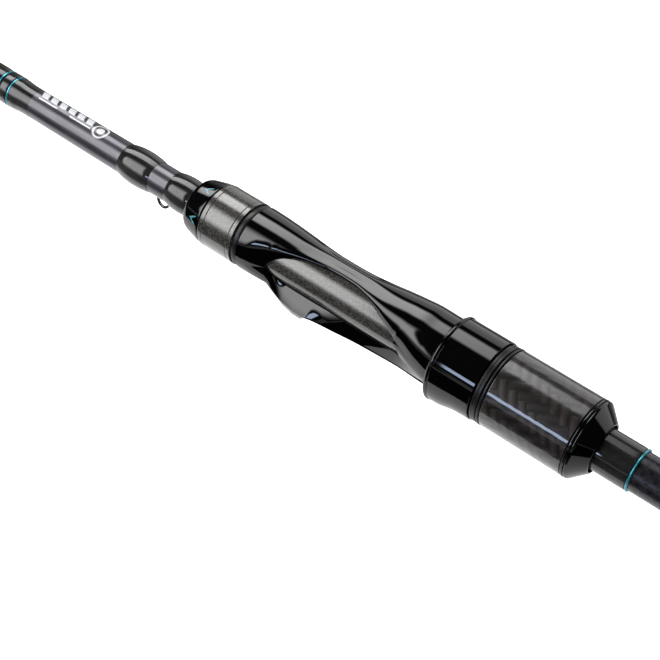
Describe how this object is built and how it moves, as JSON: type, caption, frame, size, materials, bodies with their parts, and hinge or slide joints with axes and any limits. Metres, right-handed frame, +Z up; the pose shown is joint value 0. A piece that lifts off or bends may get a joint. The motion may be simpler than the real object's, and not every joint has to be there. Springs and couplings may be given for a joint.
{
  "type": "spinning rod",
  "caption": "Two-piece carbon spinning rod with a waisted skeleton reel seat, screw-locking hood, foam rear grip, ringed line guides and a tip-top.",
  "frame": {"origin": "centre of the butt cap's flat end face, on the rod's axis", "axes": "+X along the rod towards the tip, +Z up, reel foot and guides on -Z"},
  "size_m": [2.0998, 0.0292, 0.0553],
  "materials": {
    "gloss_black": "gloss black moulded plastic",
    "satin_black": "satin black moulded plastic",
    "woven_carbon": "varnished woven carbon",
    "plain_carbon": "varnished unidirectional carbon",
    "blank_carbon": "satin varnished carbon blank",
    "foam": "black closed-cell foam",
    "cyan_metal": "cyan anodised",
    "spacer": "rigid foam spacer",
    "guide_metal": "dark coated steel",
    "ceramic": "polished dark ceramic",
    "wrap_varnish": "black thread under clear varnish"
  },
  "bodies": {
    "rod": {"butt_blank": "blank_carbon", "butt_cap": "gloss_black", "butt_ring": "cyan_metal", "ferrule_wrap_male": "wrap_varnish", "foregrip_wrap_front": "wrap_varnish", "foregrip_wrap_rear": "wrap_varnish", "front_arbor": "spacer", "front_sleeve": "plain_carbon", "guide_1_frame": "guide_metal", "guide_1_front_wrap": "wrap_varnish", "guide_1_rear_wrap": "wrap_varnish", "guide_1_ring": "ceramic", "hook_keeper": "guide_metal", "label_band_front": "cyan_metal", "label_band_rear": "cyan_metal", "label_wrap": "wrap_varnish", "label_wrap_front": "wrap_varnish", "middle_arbor": "spacer", "rear_arbor": "spacer", "rear_cyan_ring": "cyan_metal", "rear_grip": "foam", "rear_grip_check": "gloss_black", "rear_grip_wrap": "wrap_varnish", "seat_barrel": "satin_black", "seat_body": "gloss_black", "seat_core_tube": "plain_carbon", "seat_o_ring": "satin_black", "seat_tail_wrap": "wrap_varnish", "winding_check": "satin_black"},
    "hood": {"sliding_hood": "gloss_black"},
    "nut": {"nut_core": "satin_black", "nut_cone": "gloss_black", "nut_trim_rear": "gloss_black", "nut_trim_front": "gloss_black", "nut_sleeve": "woven_carbon", "thrust_ring": "satin_black"},
    "tip": {"ferrule_wrap_female": "wrap_varnish", "guide_2_frame": "guide_metal", "guide_2_front_wrap": "wrap_varnish", "guide_2_rear_wrap": "wrap_varnish", "guide_2_ring": "ceramic", "guide_3_frame": "guide_metal", "guide_3_rear_wrap": "wrap_varnish", "guide_3_ring": "ceramic", "guide_4_frame": "guide_metal", "guide_4_rear_wrap": "wrap_varnish", "guide_4_ring": "ceramic", "guide_5_frame": "guide_metal", "guide_5_rear_wrap": "wrap_varnish", "guide_5_ring": "ceramic", "guide_6_frame": "guide_metal", "guide_6_rear_wrap": "wrap_varnish", "guide_6_ring": "ceramic", "guide_7_frame": "guide_metal", "guide_7_rear_wrap": "wrap_varnish", "guide_7_ring": "ceramic", "tip_blank": "blank_carbon", "tip_top_frame": "guide_metal", "tip_top_ring": "ceramic", "tip_top_wrap": "wrap_varnish"}
  },
  "joints": [
    {"name": "hood_slide", "type": "slide", "parent": "rod", "child": "hood", "axis": [1, 0, 0], "range_m": [-0.0141, 0.0041]},
    {"name": "nut_turn", "type": "hinge", "parent": "hood", "child": "nut", "pos_m": [0.31, 0, 0], "axis": [1, 0, 0], "range_deg": [-2016, 576]},
    {"name": "tip_slide", "type": "slide", "parent": "rod", "child": "tip", "axis": [1, 0, 0], "range_m": [0, 0.1]}
  ],
  "couplings": [
    {"joint": "hood_slide", "follows": "nut_turn", "m_per_rad": 0.00039789}
  ]
}
